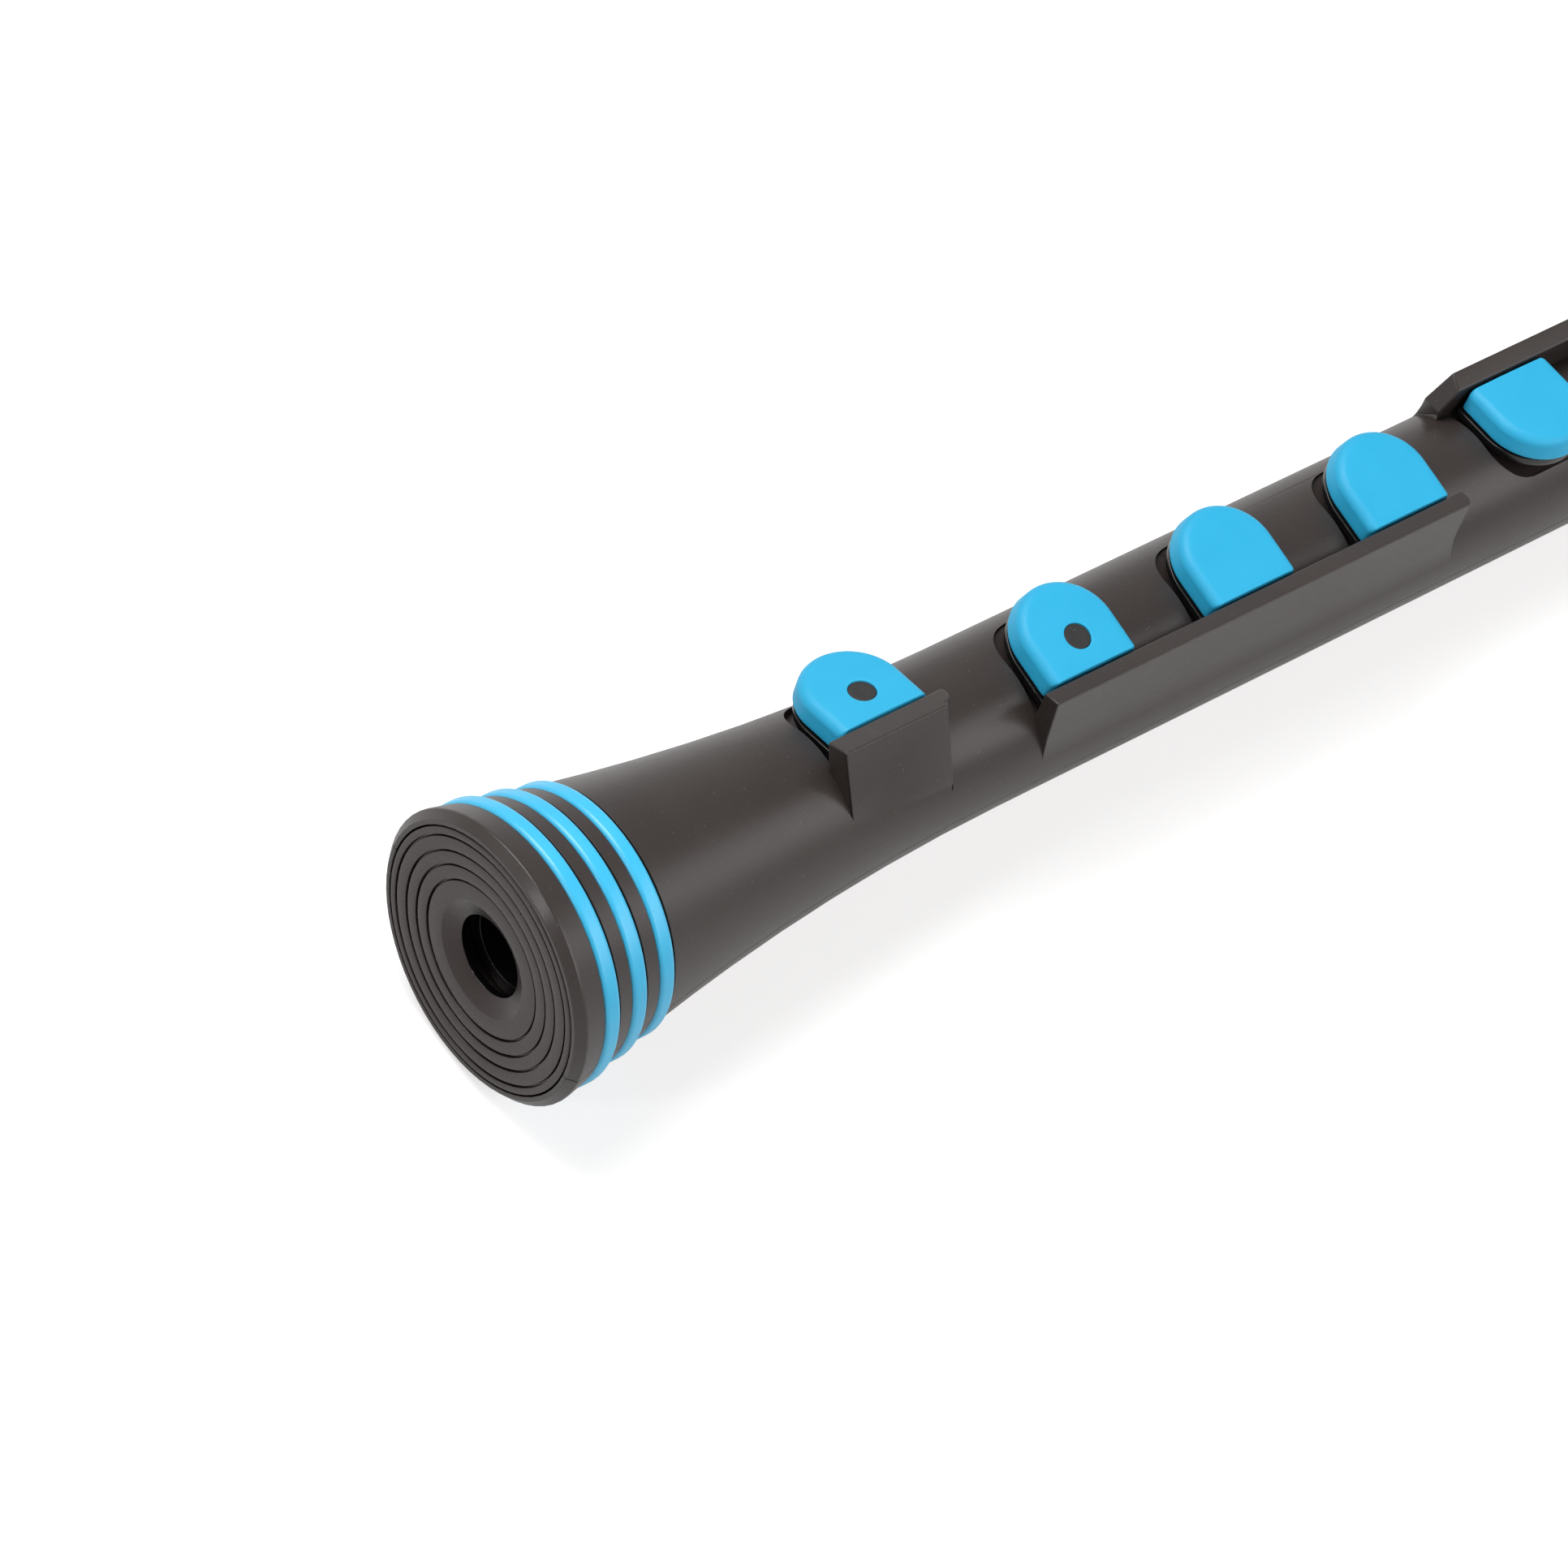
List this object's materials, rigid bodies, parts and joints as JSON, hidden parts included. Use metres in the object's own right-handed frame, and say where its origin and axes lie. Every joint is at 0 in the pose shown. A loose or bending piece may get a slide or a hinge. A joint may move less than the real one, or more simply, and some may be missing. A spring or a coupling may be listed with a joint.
{
  "type": "keyed recorder",
  "caption": "Soprano recorder in black plastic with hinged blue silicone key caps, grip rings, a wide flared foot and a head joint that turns and slides to tune.",
  "frame": {"origin": "middle of the foot end, on the bore axis, in the plane of the foot's end face", "axes": "+X along the bore from the foot end to the mouthpiece, +Z to the player's front where the keys are, -Y the side of the right-hand key rail"},
  "size_m": [0.343, 0.035, 0.035],
  "materials": {
    "black_plastic": "satin fine-grained ABS",
    "foot_plastic": "satin fine-grained ABS",
    "lever_plastic": "smooth semi-gloss ABS",
    "blue_silicone": "matt silicone",
    "black_rubber": "matt rubber",
    "steel": "ground rod"
  },
  "bodies": {
    "body": {"upper_shell": "black_plastic", "lower_shell": "black_plastic", "bore_tube": "black_plastic", "foot_disc": "foot_plastic", "grip_ring_1": "blue_silicone", "grip_ring_2": "blue_silicone", "grip_ring_3": "blue_silicone", "thumb_bush": "black_plastic", "hinge_rod_foot": "steel", "hinge_rod_right": "steel", "hinge_rod_left": "steel", "spring_foot": "steel", "springs_right": "steel", "springs_left": "steel"},
    "key_1": {"key_1_lever": "lever_plastic", "key_1_cap": "blue_silicone", "key_1_pad": "black_rubber"},
    "key_2": {"key_2_lever": "lever_plastic", "key_2_cap": "blue_silicone", "key_2_pad": "black_rubber"},
    "key_3": {"key_3_lever": "lever_plastic", "key_3_cap": "blue_silicone", "key_3_pad": "black_rubber"},
    "key_4": {"key_4_lever": "lever_plastic", "key_4_cap": "blue_silicone", "key_4_pad": "black_rubber"},
    "key_5": {"key_5_lever": "lever_plastic", "key_5_cap": "blue_silicone", "key_5_pad": "black_rubber"},
    "key_6": {"key_6_lever": "lever_plastic", "key_6_cap": "blue_silicone", "key_6_pad": "black_rubber", "key_6_plug": "black_rubber"},
    "key_7": {"key_7_lever": "lever_plastic", "key_7_cap": "blue_silicone", "key_7_pad": "black_rubber", "key_7_plug": "black_rubber"},
    "seal": {"socket_seal": "black_rubber"},
    "head": {"head_shell": "black_plastic", "windway_block": "black_plastic"}
  },
  "joints": [
    {"name": "key_1_press", "type": "hinge", "parent": "body", "child": "key_1", "pos_m": [0.2057, 0.0066, 0.0096], "axis": [1, 0, 0], "range_deg": [0, 6], "stiffness_Nm_per_rad": 0.02},
    {"name": "key_2_press", "type": "hinge", "parent": "body", "child": "key_2", "pos_m": [0.1807, 0.0066, 0.0096], "axis": [1, 0, 0], "range_deg": [0, 6], "stiffness_Nm_per_rad": 0.02},
    {"name": "key_3_press", "type": "hinge", "parent": "body", "child": "key_3", "pos_m": [0.1557, 0.0066, 0.0096], "axis": [1, 0, 0], "range_deg": [0, 6], "stiffness_Nm_per_rad": 0.02},
    {"name": "key_4_press", "type": "hinge", "parent": "body", "child": "key_4", "pos_m": [0.1307, -0.0066, 0.0096], "axis": [-1, 0, 0], "range_deg": [0, 6], "stiffness_Nm_per_rad": 0.02},
    {"name": "key_5_press", "type": "hinge", "parent": "body", "child": "key_5", "pos_m": [0.1057, -0.0066, 0.0096], "axis": [-1, 0, 0], "range_deg": [0, 6], "stiffness_Nm_per_rad": 0.02},
    {"name": "key_6_press", "type": "hinge", "parent": "body", "child": "key_6", "pos_m": [0.0807, -0.0066, 0.0096], "axis": [-1, 0, 0], "range_deg": [0, 6], "stiffness_Nm_per_rad": 0.02},
    {"name": "key_7_press", "type": "hinge", "parent": "body", "child": "key_7", "pos_m": [0.0526, -0.00235, 0.01179], "axis": [-1, 0, 0], "range_deg": [0, 6], "stiffness_Nm_per_rad": 0.02},
    {"name": "tuning_slide", "type": "slide", "parent": "body", "child": "seal", "axis": [1, 0, 0], "range_m": [0, 0.008]},
    {"name": "head_turn", "type": "hinge", "parent": "seal", "child": "head", "pos_m": [0.25, 0, 0], "axis": [1, 0, 0], "continuous": true}
  ]
}
